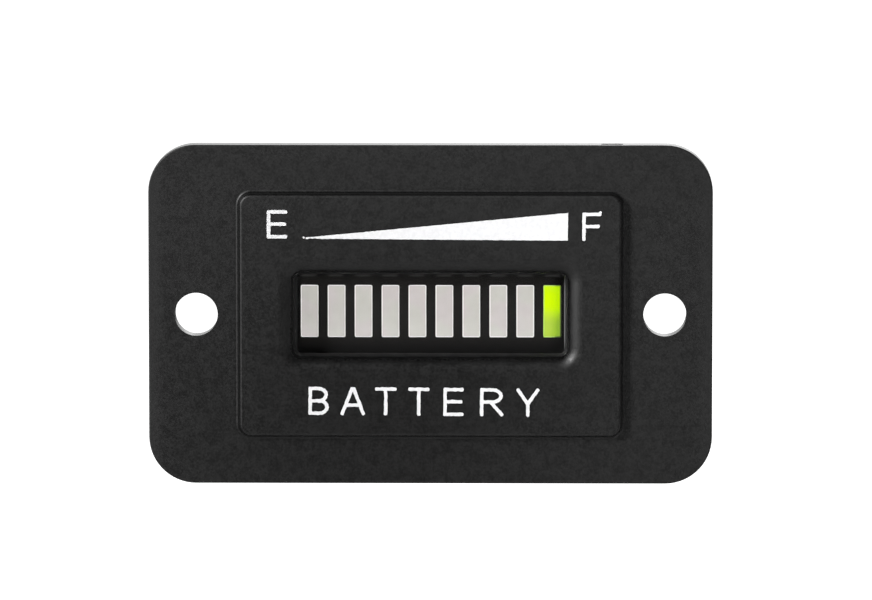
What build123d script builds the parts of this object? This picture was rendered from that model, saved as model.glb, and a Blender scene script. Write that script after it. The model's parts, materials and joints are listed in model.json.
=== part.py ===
"""Panel-mount battery level gauge, in millimetres.

The origin is the midpoint between the two mounting holes, on the back plane of the flange, where the gauge
meets its panel. +Z is up, +X is to the right of someone who faces the gauge, and the front faces -Y. What
lies behind the panel has y above 0.
"""

from build123d import *
import os

# Mounting flange
FLANGE_WIDTH = 57.5
FLANGE_HEIGHT = 34.7
FLANGE_THICKNESS = 2.5
FLANGE_CORNER = 4.8
FLANGE_EDGE_ROUND = 0.15
HOLE_DIAMETER = 4.4
HOLE_SPACING = 47.8

# Shallow mark that the moulding gate leaves in the flange's top edge
GATE_X = 18.5
GATE_WIDTH = 2.2
GATE_THICKNESS = 1.0
GATE_DEPTH = 0.15

# Raised face, with its size at the foot
FACE_WIDTH = 39.2
FACE_HEIGHT = 25.0
FACE_CORNER = 1.3
FACE_PROUD = 1.1
FACE_DRAFT = 7.0
FACE_EDGE_ROUND = 0.35
FACE_FOOT_ROUND = 0.3
FACE_Y = -(FLANGE_THICKNESS + FACE_PROUD)

# Window in the raised face
WINDOW_WIDTH = 27.6
WINDOW_HEIGHT = 8.2
WINDOW_CORNER = 0.7
WINDOW_ROLL = 1.7
FRONT_WALL = 3.2
CAVITY_Y = FACE_Y + FRONT_WALL

# Lens, a plug that fills the window and a rim glued in a rebate behind it
LENS_WIDTH = 30.2
LENS_HEIGHT = 10.4
LENS_RIM = 0.8
LENS_PLUG = 1.0
LENS_CORNER = 1.0
LENS_GAP = 0.05
LENS_CHAMFER = 0.18
REBATE_RELIEF = 0.5

# Skirt, which goes through a 36.8 x 24.1 panel cut-out
SKIRT_WIDTH = 36.5
SKIRT_HEIGHT = 23.8
SKIRT_DEPTH = 16.5
SKIRT_WALL = 1.6
SKIRT_CORNER = 1.0
SKIRT_INNER_CORNER = 0.8
INNER_WIDTH = SKIRT_WIDTH - 2 * SKIRT_WALL
INNER_HEIGHT = SKIRT_HEIGHT - 2 * SKIRT_WALL
BOSS_ROOT = 0.2

# Cover and its screws
COVER_THICKNESS = 2.0
COVER_EDGE_ROUND = 0.4
COVER_LIP_DEPTH = 1.2
COVER_LIP_WALL = 1.0
COVER_LIP_GAP = 0.15
COVER_BOSS_RADIUS = 2.0
COVER_BOSS_X = 15.0
COVER_BOSS_Z = 8.7
COVER_SCREW_LENGTH = 7.0
COUNTERBORE_DIAMETER = 4.3
COUNTERBORE_DEPTH = 1.0
COLLAR_WIDTH = 3.0
COLLAR_HEIGHT = 8.8
COLLAR_PROUD = 1.0
COLLAR_CORNER = 0.6
COLLAR_EDGE_ROUND = 0.3
COLLAR_ROOT = 0.2
SIGN_LENGTH = 2.2
SIGN_STROKE = 0.5
SIGN_PROUD = 0.3
SIGN_Z = 7.2
COVER_Y = SKIRT_DEPTH + COVER_THICKNESS

# Small self-tapping screws
SCREW_DIAMETER = 2.0
SCREW_HOLE_GAP = 0.05
SCREW_HEAD_DIAMETER = 3.8
SCREW_HEAD_HEIGHT = 1.3
SCREW_HEAD_ROUND = 0.4
SCREW_SLOT_LENGTH = 2.0
SCREW_SLOT_WIDTH = 0.5
SCREW_SLOT_DEPTH = 0.7
SCREW_TIP = 0.5
SCREW_END_GAP = 0.5

# Bar display
BAR_COUNT = 10
BAR_PITCH = 2.76
BAR_WIDTH = 1.6
BAR_HEIGHT = 5.16
BAR_RECESS = 0.05
BAR_BACK_GAP = 0.5
DISPLAY_WIDTH = 29.4
DISPLAY_HEIGHT = 9.6
DISPLAY_DEPTH = 6.0
DISPLAY_CORNER = 0.4
DISPLAY_Y = CAVITY_Y + 1.3
SUBSTRATE_THICKNESS = 1.0
DIE_SIZE = 0.35
DIE_HEIGHT = 0.25
PIN_WIDTH = 0.5
PIN_THICKNESS = 0.3
PIN_ROW_Z = 3.81
PIN_PAST_BOARD = 0.7

# Circuit board
BOARD_WIDTH = 32.6
BOARD_HEIGHT = 19.8
BOARD_THICKNESS = 1.6
BOARD_Y = 8.0
BOARD_NOTCH_X = 4.0
BOARD_NOTCH_Z = 3.8
BOARD_BACK_Y = BOARD_Y + BOARD_THICKNESS
BOARD_BOSS_RADIUS = 1.9
BOARD_BOSS_Z = 7.9
BOARD_SCREW_LENGTH = 6.0
PIN_HOLE_DIAMETER = 0.9

# Blade terminals, 6.3 x 0.8
BLADE_WIDTH = 6.3
BLADE_THICKNESS = 0.8
BLADE_LENGTH = 8.0
BLADE_TIP_CHAMFER = 1.2
BLADE_HOLE_DIAMETER = 1.8
BLADE_HOLE_FROM_TIP = 3.8
BLADE_X = 9.5
BLADE_SLOT_GAP = 0.15
LEG_WIDTH = 1.2
LEG_Z = 1.6
LEG_GAP = 0.1

# Driver chip with sixteen leads
CHIP_LENGTH = 9.9
CHIP_WIDTH = 3.9
CHIP_HEIGHT = 1.4
CHIP_STANDOFF = 0.1
CHIP_DIMPLE_DIAMETER = 0.7
CHIP_DIMPLE_DEPTH = 0.1
CHIP_DIMPLE_INSET = 0.9
CHIP_LEADS_PER_SIDE = 8
CHIP_LEAD_PITCH = 1.27
CHIP_LEAD_WIDTH = 0.4
CHIP_LEAD_THICKNESS = 0.2
CHIP_LEAD_REACH = 1.05
CHIP_LEAD_FOOT = 0.5

# Regulator, protection diode and supply capacitor. A tab's size is its length in X by its length in Z
MOULDED_CHAMFER = 0.2
REGULATOR_X = 6.6
REGULATOR_Z = -7.2
REGULATOR_SIZE = (4.5, 2.5, 1.5)
REGULATOR_LEG = (0.4, 1.0)
REGULATOR_LEG_PITCH = 1.5
REGULATOR_HEAT_TAB = (1.7, 1.0)
DIODE_X = -6.6
DIODE_Z = -7.2
DIODE_SIZE = (4.3, 2.6, 2.1)
DIODE_CHAMFER = 0.3
DIODE_TAB = (1.0, 1.4)
CAPACITOR_X = -7.2
CAPACITOR_Z = 7.2
CAPACITOR_DIAMETER = 4.0
CAPACITOR_BASE = 4.3
CAPACITOR_BASE_HEIGHT = 0.6
CAPACITOR_HEIGHT = 4.6
CAPACITOR_EDGE_ROUND = 0.3
TAB_THICKNESS = 0.2

# Chip resistors and capacitors, each a body between two end caps
CHIP_PART_LENGTH = 2.0
CHIP_PART_WIDTH = 1.25
CHIP_CAP_LENGTH = 0.4
RESISTOR_HEIGHT = 0.5
CERAMIC_HEIGHT = 0.9
RESISTOR_PLACES = [(-11.6, 0.0), (-7.0, 0.6), (-7.0, -1.4), (7.0, 0.6), (7.0, -1.4), (11.6, 0.0)]
CERAMIC_PLACES = [(-2.6, 5.6), (2.6, 5.6), (-2.6, -5.6), (2.6, -5.6)]

# Trimmer, whose rotor turns in the bore of its body
TRIMMER_X = 7.2
TRIMMER_Z = 7.1
TRIMMER_SIZE = 4.6
TRIMMER_HEIGHT = 2.6
TRIMMER_BACK_Y = BOARD_BACK_Y + TAB_THICKNESS + TRIMMER_HEIGHT
TRIMMER_END_TAB = (0.6, 0.8)
TRIMMER_END_TAB_X = 1.2
TRIMMER_END_TAB_INSET = 0.2
TRIMMER_WIPER_TAB = (1.2, 0.6)
TRIMMER_WIPER_TAB_INSET = 0.3
ROTOR_DIAMETER = 3.0
ROTOR_GAP = 0.05
ROTOR_BORE_DEPTH = 1.6
ROTOR_PROUD = 0.3
ROTOR_SLOT_WIDTH = 0.5
ROTOR_SLOT_LENGTH = 2.2
ROTOR_SLOT_DEPTH = 0.7
ROTOR_CHAMFER = 0.15
TRIMMER_ACCESS_DIAMETER = 3.2


def slab(outline, y_front, y_back, taper=0.0):
    """The solid with this outline, drawn in X and Z, between two Y planes."""
    return extrude(Plane.XZ.offset(-y_back) * outline, y_back - y_front, taper=taper)


def block(width, height, y_front, y_back, x=0.0, z=0.0):
    return slab(Pos(x, z) * Rectangle(width, height), y_front, y_back)


def rounded_block(width, height, corner, y_front, y_back):
    return slab(RectangleRounded(width, height, corner), y_front, y_back)


def round_bar(diameter, y_front, y_back, x=0.0, z=0.0):
    return slab(Pos(x, z) * Circle(diameter / 2), y_front, y_back)


def edges_at(solid, y, half_width, half_height):
    """The edges in the plane at y whose middles lie inside the given half width and half height."""
    return solid.edges().filter_by(
        lambda edge: abs(edge.bounding_box().min.Y - y) < 1e-4
        and abs(edge.bounding_box().max.Y - y) < 1e-4
        and abs(edge.center().X) < half_width
        and abs(edge.center().Z) < half_height
    )


def bar_centres():
    first = -(BAR_COUNT - 1) * BAR_PITCH / 2
    return [first + index * BAR_PITCH for index in range(BAR_COUNT)]


def corner_places(x, z):
    return [(sx * x, sz * z) for sx in (-1, 1) for sz in (-1, 1)]


def group(solids, name):
    """Separate pieces of one kind, kept as separate solids in one node."""
    return Compound(label=name, children=[piece for solid in solids for piece in solid.solids()])


def make_front_housing():
    flange = rounded_block(FLANGE_WIDTH, FLANGE_HEIGHT, FLANGE_CORNER, -FLANGE_THICKNESS, 0)
    flange = fillet(edges_at(flange, -FLANGE_THICKNESS, FLANGE_WIDTH, FLANGE_HEIGHT), FLANGE_EDGE_ROUND)
    face_outline = RectangleRounded(FACE_WIDTH, FACE_HEIGHT, FACE_CORNER)
    face = slab(face_outline, FACE_Y, -FLANGE_THICKNESS, taper=FACE_DRAFT)
    face = fillet(edges_at(face, FACE_Y, FACE_WIDTH, FACE_HEIGHT), FACE_EDGE_ROUND)
    front = flange + face
    foot = edges_at(front, -FLANGE_THICKNESS, FACE_WIDTH / 2 + 0.01, FACE_HEIGHT / 2 + 0.01)
    front = fillet(foot, FACE_FOOT_ROUND)
    front -= rounded_block(WINDOW_WIDTH, WINDOW_HEIGHT, WINDOW_CORNER, FACE_Y - 1, CAVITY_Y)
    rim = edges_at(front, FACE_Y, WINDOW_WIDTH / 2 + 0.01, WINDOW_HEIGHT / 2 + 0.01)
    front = fillet(rim, WINDOW_ROLL)
    skirt_root = CAVITY_Y - LENS_RIM / 2
    skirt = rounded_block(SKIRT_WIDTH, SKIRT_HEIGHT, SKIRT_CORNER, skirt_root, SKIRT_DEPTH)
    cavity = rounded_block(INNER_WIDTH, INNER_HEIGHT, SKIRT_INNER_CORNER, CAVITY_Y, SKIRT_DEPTH)
    housing = front + skirt - cavity
    rebate_width = LENS_WIDTH + 2 * LENS_GAP
    rebate_height = LENS_HEIGHT + 2 * LENS_GAP
    rebate_front = CAVITY_Y - LENS_RIM
    rebate_back = CAVITY_Y + REBATE_RELIEF
    housing -= rounded_block(rebate_width, rebate_height, LENS_CORNER, rebate_front, rebate_back)
    boss_front = CAVITY_Y - BOSS_ROOT
    inside_width = INNER_WIDTH + BOSS_ROOT
    inside_height = INNER_HEIGHT + BOSS_ROOT
    inside = rounded_block(inside_width, inside_height, SKIRT_INNER_CORNER, boss_front, SKIRT_DEPTH)
    for x, z in corner_places(COVER_BOSS_X, COVER_BOSS_Z):
        housing += round_bar(2 * COVER_BOSS_RADIUS, boss_front, SKIRT_DEPTH, x, z) & inside
    for z in (-BOARD_BOSS_Z, BOARD_BOSS_Z):
        housing += round_bar(2 * BOARD_BOSS_RADIUS, boss_front, BOARD_Y, 0, z) & inside
    pilot = SCREW_DIAMETER + 2 * SCREW_HOLE_GAP
    for x, z in corner_places(COVER_BOSS_X, COVER_BOSS_Z):
        housing -= round_bar(pilot, SKIRT_DEPTH - COVER_SCREW_LENGTH, SKIRT_DEPTH, x, z)
    for z in (-BOARD_BOSS_Z, BOARD_BOSS_Z):
        housing -= round_bar(pilot, BOARD_Y - BOARD_SCREW_LENGTH, BOARD_Y, 0, z)
    for x in (-HOLE_SPACING / 2, HOLE_SPACING / 2):
        housing -= round_bar(HOLE_DIAMETER, -FLANGE_THICKNESS - 1, 1, x, 0)
    gate_middle = -FLANGE_THICKNESS / 2
    gate_z = (FLANGE_HEIGHT - GATE_DEPTH) / 2
    gate_front = gate_middle - GATE_THICKNESS / 2
    housing -= block(GATE_WIDTH, GATE_DEPTH, gate_front, gate_front + GATE_THICKNESS, GATE_X, gate_z)
    return housing


def make_window_lens():
    rim_front = CAVITY_Y - LENS_RIM
    rim = rounded_block(LENS_WIDTH, LENS_HEIGHT, LENS_CORNER, rim_front, CAVITY_Y)
    plug_front = rim_front - LENS_PLUG
    plug_width = WINDOW_WIDTH - 2 * LENS_GAP
    plug_height = WINDOW_HEIGHT - 2 * LENS_GAP
    plug = rounded_block(plug_width, plug_height, WINDOW_CORNER, plug_front, rim_front)
    plug = chamfer(edges_at(plug, plug_front, WINDOW_WIDTH, WINDOW_HEIGHT), LENS_CHAMFER)
    return rim + plug


def make_display_body():
    back = DISPLAY_Y + DISPLAY_DEPTH
    body = rounded_block(DISPLAY_WIDTH, DISPLAY_HEIGHT, DISPLAY_CORNER, DISPLAY_Y, back)
    for x in bar_centres():
        body -= block(BAR_WIDTH, BAR_HEIGHT, DISPLAY_Y - 1, back + 1, x)
    return body


def make_bar_segment(x):
    back = DISPLAY_Y + DISPLAY_DEPTH - BAR_BACK_GAP
    return block(BAR_WIDTH, BAR_HEIGHT, DISPLAY_Y + BAR_RECESS, back, x)


def make_display_substrate():
    front = DISPLAY_Y + DISPLAY_DEPTH
    return rounded_block(DISPLAY_WIDTH, DISPLAY_HEIGHT, DISPLAY_CORNER, front, front + SUBSTRATE_THICKNESS)


def make_led_dies():
    back = DISPLAY_Y + DISPLAY_DEPTH
    return group([block(DIE_SIZE, DIE_SIZE, back - DIE_HEIGHT, back, x) for x in bar_centres()], "led_dies")


def pin_places():
    return [(x, z) for x in bar_centres() for z in (-PIN_ROW_Z, PIN_ROW_Z)]


def make_display_pins():
    start = DISPLAY_Y + DISPLAY_DEPTH + SUBSTRATE_THICKNESS
    end = BOARD_BACK_Y + PIN_PAST_BOARD
    pins = [block(PIN_WIDTH, PIN_THICKNESS, start, end, x, z) for x, z in pin_places()]
    return group(pins, "display_pins")


def make_circuit_board():
    board = block(BOARD_WIDTH, BOARD_HEIGHT, BOARD_Y, BOARD_BACK_Y)
    notch_x = (BOARD_WIDTH - BOARD_NOTCH_X) / 2
    notch_z = (BOARD_HEIGHT - BOARD_NOTCH_Z) / 2
    for x, z in corner_places(notch_x, notch_z):
        board -= block(BOARD_NOTCH_X, BOARD_NOTCH_Z, BOARD_Y, BOARD_BACK_Y, x, z)
    for z in (-BOARD_BOSS_Z, BOARD_BOSS_Z):
        board -= round_bar(SCREW_DIAMETER + 4 * SCREW_HOLE_GAP, BOARD_Y, BOARD_BACK_Y, 0, z)
    for x, z in pin_places():
        board -= round_bar(PIN_HOLE_DIAMETER, BOARD_Y, BOARD_BACK_Y, x, z)
    for x, z in corner_places(BLADE_X, LEG_Z):
        width = BLADE_THICKNESS + 2 * LEG_GAP
        board -= block(width, LEG_WIDTH + 2 * LEG_GAP, BOARD_Y, BOARD_BACK_Y, x, z)
    return board


def make_screw(x, z, seat_y, length):
    """A pan-head screw whose head rests on the plane seat_y and whose shank points to the front."""
    head = round_bar(SCREW_HEAD_DIAMETER, seat_y, seat_y + SCREW_HEAD_HEIGHT, x, z)
    head = fillet(head.edges().group_by(Axis.Y)[-1], SCREW_HEAD_ROUND)
    shank = round_bar(SCREW_DIAMETER, seat_y - length, seat_y, x, z)
    shank = chamfer(shank.edges().group_by(Axis.Y)[0], SCREW_TIP)
    screw = head + shank
    slot_front = seat_y + SCREW_HEAD_HEIGHT - SCREW_SLOT_DEPTH
    for width, height in ((SCREW_SLOT_LENGTH, SCREW_SLOT_WIDTH), (SCREW_SLOT_WIDTH, SCREW_SLOT_LENGTH)):
        screw -= block(width, height, slot_front, seat_y + SCREW_HEAD_HEIGHT + 1, x, z)
    return screw


def make_board_screws():
    length = BOARD_SCREW_LENGTH + BOARD_THICKNESS - SCREW_END_GAP
    screws = [make_screw(0, z, BOARD_BACK_Y, length) for z in (-BOARD_BOSS_Z, BOARD_BOSS_Z)]
    return group(screws, "board_screws")


def make_cover_screws():
    seat = COVER_Y - COUNTERBORE_DEPTH
    length = COVER_SCREW_LENGTH + COVER_THICKNESS - COUNTERBORE_DEPTH - SCREW_END_GAP
    places = corner_places(COVER_BOSS_X, COVER_BOSS_Z)
    return group([make_screw(x, z, seat, length) for x, z in places], "cover_screws")


def make_back_cover():
    cover = rounded_block(SKIRT_WIDTH, SKIRT_HEIGHT, SKIRT_CORNER, SKIRT_DEPTH, COVER_Y)
    cover = fillet(edges_at(cover, COVER_Y, SKIRT_WIDTH, SKIRT_HEIGHT), COVER_EDGE_ROUND)
    lip_width = INNER_WIDTH - 2 * COVER_LIP_GAP
    lip_height = INNER_HEIGHT - 2 * COVER_LIP_GAP
    lip_front = SKIRT_DEPTH - COVER_LIP_DEPTH
    lip = block(lip_width, lip_height, lip_front, SKIRT_DEPTH)
    lip -= block(lip_width - 2 * COVER_LIP_WALL, lip_height - 2 * COVER_LIP_WALL, lip_front, SKIRT_DEPTH)
    notch = 2 * (COVER_BOSS_RADIUS + 2 * COVER_LIP_GAP)
    for x, z in corner_places(lip_width / 2, lip_height / 2):
        lip -= block(2 * notch, 2 * notch, lip_front - 1, SKIRT_DEPTH, x, z)
    cover += lip
    collar_outline = RectangleRounded(COLLAR_WIDTH, COLLAR_HEIGHT, COLLAR_CORNER)
    root_y = COVER_Y - COLLAR_ROOT
    for x in (-BLADE_X, BLADE_X):
        collar = slab(Pos(x, 0) * collar_outline, root_y, COVER_Y + COLLAR_PROUD)
        cover += fillet(collar.edges().group_by(Axis.Y)[-1], COLLAR_EDGE_ROUND)
        cover += block(SIGN_LENGTH, SIGN_STROKE, root_y, COVER_Y + SIGN_PROUD, x, -SIGN_Z)
    cover += block(SIGN_STROKE, SIGN_LENGTH, root_y, COVER_Y + SIGN_PROUD, BLADE_X, -SIGN_Z)
    for x in (-BLADE_X, BLADE_X):
        slot_width = BLADE_THICKNESS + 2 * BLADE_SLOT_GAP
        slot_height = BLADE_WIDTH + 2 * BLADE_SLOT_GAP
        cover -= block(slot_width, slot_height, SKIRT_DEPTH - 2, COVER_Y + 2, x)
    for x, z in corner_places(COVER_BOSS_X, COVER_BOSS_Z):
        cover -= round_bar(SCREW_DIAMETER + 4 * SCREW_HOLE_GAP, SKIRT_DEPTH - 2, COVER_Y + 1, x, z)
        cover -= round_bar(COUNTERBORE_DIAMETER, COVER_Y - COUNTERBORE_DEPTH, COVER_Y + 1, x, z)
    cover -= round_bar(TRIMMER_ACCESS_DIAMETER, SKIRT_DEPTH - 1, COVER_Y + 1, TRIMMER_X, TRIMMER_Z)
    return cover


def make_blade_terminal(x):
    tip_y = COVER_Y + BLADE_LENGTH
    blade = block(BLADE_THICKNESS, BLADE_WIDTH, BOARD_BACK_Y, tip_y, x)
    corners = blade.edges().group_by(Axis.Y)[-1].filter_by(Axis.X)
    blade = chamfer(corners, BLADE_TIP_CHAMFER)
    faces = blade.edges().group_by(Axis.Y)[-1].filter_by(Axis.Z)
    blade = chamfer(faces, BLADE_THICKNESS / 4)
    hole = Cylinder(BLADE_HOLE_DIAMETER / 2, 4 * BLADE_THICKNESS, rotation=(0, 90, 0))
    blade -= Pos(x, tip_y - BLADE_HOLE_FROM_TIP, 0) * hole
    for z in (-LEG_Z, LEG_Z):
        blade += block(BLADE_THICKNESS, LEG_WIDTH, BOARD_Y, BOARD_BACK_Y, x, z)
    return blade


def make_driver_chip():
    front = BOARD_BACK_Y + CHIP_STANDOFF
    chip = block(CHIP_LENGTH, CHIP_WIDTH, front, front + CHIP_HEIGHT)
    chip = chamfer(chip.edges().group_by(Axis.Y)[-1], MOULDED_CHAMFER)
    back = front + CHIP_HEIGHT
    dimple_x = CHIP_DIMPLE_INSET - CHIP_LENGTH / 2
    dimple_z = CHIP_DIMPLE_INSET - CHIP_WIDTH / 2
    chip -= round_bar(CHIP_DIMPLE_DIAMETER, back - CHIP_DIMPLE_DEPTH, back + 1, dimple_x, dimple_z)
    return chip


def make_driver_chip_leads():
    """Gull-wing leads: each leaves the chip's side, bends down to the board and ends in a foot."""
    side = CHIP_WIDTH / 2
    shoulder_y = BOARD_BACK_Y + CHIP_STANDOFF + CHIP_HEIGHT / 2
    thickness = CHIP_LEAD_THICKNESS
    ankle = side + CHIP_LEAD_REACH - CHIP_LEAD_FOOT
    outline = [
        (shoulder_y + thickness, side),
        (shoulder_y + thickness, ankle),
        (BOARD_BACK_Y + thickness, ankle + thickness),
        (BOARD_BACK_Y + thickness, side + CHIP_LEAD_REACH),
        (BOARD_BACK_Y, side + CHIP_LEAD_REACH),
        (BOARD_BACK_Y, ankle),
        (shoulder_y, ankle - thickness),
        (shoulder_y, side),
    ]
    profile = Plane.YZ * make_face(Polyline(outline, close=True))
    lead = extrude(profile, CHIP_LEAD_WIDTH / 2, both=True)
    first = -(CHIP_LEADS_PER_SIDE - 1) * CHIP_LEAD_PITCH / 2
    leads = []
    for index in range(CHIP_LEADS_PER_SIDE):
        upper = Pos(first + index * CHIP_LEAD_PITCH, 0, 0) * lead
        leads += [upper, mirror(upper, Plane.XY)]
    return group(leads, "driver_chip_leads")


def box_on_board(x, z, size):
    """A component body that stands on its tabs."""
    length, width, height = size
    front = BOARD_BACK_Y + TAB_THICKNESS
    return block(length, width, front, front + height, x, z)


def solder_tab(size, x, z):
    return block(*size, BOARD_BACK_Y, BOARD_BACK_Y + TAB_THICKNESS, x, z)


def make_regulator_body():
    body = box_on_board(REGULATOR_X, REGULATOR_Z, REGULATOR_SIZE)
    return chamfer(body.edges().group_by(Axis.Y)[-1], MOULDED_CHAMFER)


def make_regulator_tabs():
    reach = REGULATOR_SIZE[1] / 2
    legs_x = [REGULATOR_X + step * REGULATOR_LEG_PITCH for step in (-1, 0, 1)]
    tabs = [solder_tab(REGULATOR_LEG, x, REGULATOR_Z - reach) for x in legs_x]
    tabs.append(solder_tab(REGULATOR_HEAT_TAB, REGULATOR_X, REGULATOR_Z + reach))
    return group(tabs, "regulator_tabs")


def make_protection_diode():
    body = box_on_board(DIODE_X, DIODE_Z, DIODE_SIZE)
    return chamfer(body.edges().group_by(Axis.Y)[-1], DIODE_CHAMFER)


def make_diode_tabs():
    reach = DIODE_SIZE[0] / 2
    return group([solder_tab(DIODE_TAB, DIODE_X + x, DIODE_Z) for x in (-reach, reach)], "diode_tabs")


def make_capacitor_base():
    back = BOARD_BACK_Y + CAPACITOR_BASE_HEIGHT
    return block(CAPACITOR_BASE, CAPACITOR_BASE, BOARD_BACK_Y, back, CAPACITOR_X, CAPACITOR_Z)


def make_supply_capacitor():
    front = BOARD_BACK_Y + CAPACITOR_BASE_HEIGHT
    can = round_bar(CAPACITOR_DIAMETER, front, front + CAPACITOR_HEIGHT, CAPACITOR_X, CAPACITOR_Z)
    return fillet(can.edges().group_by(Axis.Y)[-1], CAPACITOR_EDGE_ROUND)


def chip_part_bodies(places, height, name):
    length = CHIP_PART_LENGTH - 2 * CHIP_CAP_LENGTH
    back = BOARD_BACK_Y + height
    return group([block(length, CHIP_PART_WIDTH, BOARD_BACK_Y, back, x, z) for x, z in places], name)


def chip_part_caps(places, height, name):
    offset = (CHIP_PART_LENGTH - CHIP_CAP_LENGTH) / 2
    back = BOARD_BACK_Y + height
    caps = []
    for x, z in places:
        for side in (-offset, offset):
            caps.append(block(CHIP_CAP_LENGTH, CHIP_PART_WIDTH, BOARD_BACK_Y, back, x + side, z))
    return group(caps, name)


def make_trimmer_body():
    body = box_on_board(TRIMMER_X, TRIMMER_Z, (TRIMMER_SIZE, TRIMMER_SIZE, TRIMMER_HEIGHT))
    body = chamfer(body.edges().group_by(Axis.Y)[-1], MOULDED_CHAMFER)
    bore_front = TRIMMER_BACK_Y - ROTOR_BORE_DEPTH
    body -= round_bar(ROTOR_DIAMETER + 2 * ROTOR_GAP, bore_front, TRIMMER_BACK_Y + 1, TRIMMER_X, TRIMMER_Z)
    return body


def make_trimmer_tabs():
    end_z = TRIMMER_Z - TRIMMER_SIZE / 2 + TRIMMER_END_TAB_INSET
    wiper_z = TRIMMER_Z + TRIMMER_SIZE / 2 - TRIMMER_WIPER_TAB_INSET
    ends_x = (TRIMMER_X - TRIMMER_END_TAB_X, TRIMMER_X + TRIMMER_END_TAB_X)
    tabs = [solder_tab(TRIMMER_END_TAB, x, end_z) for x in ends_x]
    tabs.append(solder_tab(TRIMMER_WIPER_TAB, TRIMMER_X, wiper_z))
    return group(tabs, "trimmer_tabs")


def make_trimmer_rotor():
    front = TRIMMER_BACK_Y - ROTOR_BORE_DEPTH + ROTOR_GAP
    back = TRIMMER_BACK_Y + ROTOR_PROUD
    rotor = round_bar(ROTOR_DIAMETER, front, back, TRIMMER_X, TRIMMER_Z)
    rotor = chamfer(rotor.edges().group_by(Axis.Y)[-1], ROTOR_CHAMFER)
    slot_front = back - ROTOR_SLOT_DEPTH
    rotor -= block(ROTOR_SLOT_WIDTH, ROTOR_SLOT_LENGTH, slot_front, back + 1, TRIMMER_X, TRIMMER_Z)
    arrow = ROTOR_SLOT_LENGTH / 2
    rotor -= block(arrow, ROTOR_SLOT_WIDTH, slot_front, back + 1, TRIMMER_X + arrow / 2, TRIMMER_Z)
    return rotor


def make_parts():
    parts = {
        "front_housing": make_front_housing(),
        "window_lens": make_window_lens(),
        "display_body": make_display_body(),
    }
    for number, x in enumerate(bar_centres(), start=1):
        parts[f"bar_segment_{number:02d}"] = make_bar_segment(x)
    parts["display_substrate"] = make_display_substrate()
    parts["led_dies"] = make_led_dies()
    parts["display_pins"] = make_display_pins()
    parts["circuit_board"] = make_circuit_board()
    parts["board_screws"] = make_board_screws()
    parts["driver_chip"] = make_driver_chip()
    parts["driver_chip_leads"] = make_driver_chip_leads()
    parts["regulator_body"] = make_regulator_body()
    parts["regulator_tabs"] = make_regulator_tabs()
    parts["protection_diode"] = make_protection_diode()
    parts["diode_tabs"] = make_diode_tabs()
    parts["supply_capacitor"] = make_supply_capacitor()
    parts["capacitor_base"] = make_capacitor_base()
    parts["chip_resistors"] = chip_part_bodies(RESISTOR_PLACES, RESISTOR_HEIGHT, "chip_resistors")
    parts["resistor_caps"] = chip_part_caps(RESISTOR_PLACES, RESISTOR_HEIGHT, "resistor_caps")
    parts["ceramic_capacitors"] = chip_part_bodies(CERAMIC_PLACES, CERAMIC_HEIGHT, "ceramic_capacitors")
    parts["capacitor_caps"] = chip_part_caps(CERAMIC_PLACES, CERAMIC_HEIGHT, "capacitor_caps")
    parts["trimmer_body"] = make_trimmer_body()
    parts["trimmer_tabs"] = make_trimmer_tabs()
    parts["trimmer_rotor"] = make_trimmer_rotor()
    parts["terminal_positive"] = make_blade_terminal(BLADE_X)
    parts["terminal_negative"] = make_blade_terminal(-BLADE_X)
    parts["back_cover"] = make_back_cover()
    parts["cover_screws"] = make_cover_screws()
    return parts


os.makedirs("parts", exist_ok=True)
for name, part in make_parts().items():
    export_step(part, os.path.join("parts", f"{name}.step"))
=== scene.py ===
"""The panel-mount battery level gauge in Blender: camera, soft studio, materials, the printed legends and
the display's printed face. Everything is in metres, in the CAD frame: +Z up, front facing -Y."""

import json
import math

import bmesh
import bpy
import numpy as np
from mathutils import Matrix, Vector


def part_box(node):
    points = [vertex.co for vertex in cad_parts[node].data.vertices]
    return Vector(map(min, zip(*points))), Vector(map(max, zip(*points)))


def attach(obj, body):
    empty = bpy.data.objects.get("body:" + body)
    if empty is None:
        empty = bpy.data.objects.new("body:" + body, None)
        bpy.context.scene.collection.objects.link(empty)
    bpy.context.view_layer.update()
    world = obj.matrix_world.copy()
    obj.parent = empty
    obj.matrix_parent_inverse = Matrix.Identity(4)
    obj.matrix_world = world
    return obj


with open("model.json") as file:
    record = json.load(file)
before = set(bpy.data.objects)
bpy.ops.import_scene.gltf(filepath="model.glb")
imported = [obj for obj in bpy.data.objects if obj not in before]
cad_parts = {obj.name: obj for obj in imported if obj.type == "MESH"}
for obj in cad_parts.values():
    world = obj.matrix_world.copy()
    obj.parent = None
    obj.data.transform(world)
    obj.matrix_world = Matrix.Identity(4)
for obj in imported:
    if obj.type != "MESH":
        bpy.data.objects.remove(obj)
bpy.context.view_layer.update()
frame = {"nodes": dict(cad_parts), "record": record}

MM = 0.001
BODY = "gauge"

# Camera, almost square to the front and a little above it
CAMERA_DISTANCE = 0.76
CAMERA_AZIMUTH = 0.83
CAMERA_ELEVATION = 6.0
CAMERA_LENS = 307.8
CAMERA_SENSOR = 36.0
CAMERA_NEAR = 0.01
CAMERA_FAR = 50.0
CAMERA_AIM = Vector((0.57, -2.5, 1.50)) * MM

# Studio. The world is dim in front of the gauge and rises to its full level behind it
FLOOR_DROP = 80 * MM
FLOOR_SIZE = 12.0
FLOOR_GREY = 0.4
WORLD_FRONT = 0.02
WORLD_BACK = 1.4
WORLD_RISE = 0.6
WORLD_SEEN = 1.0

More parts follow.
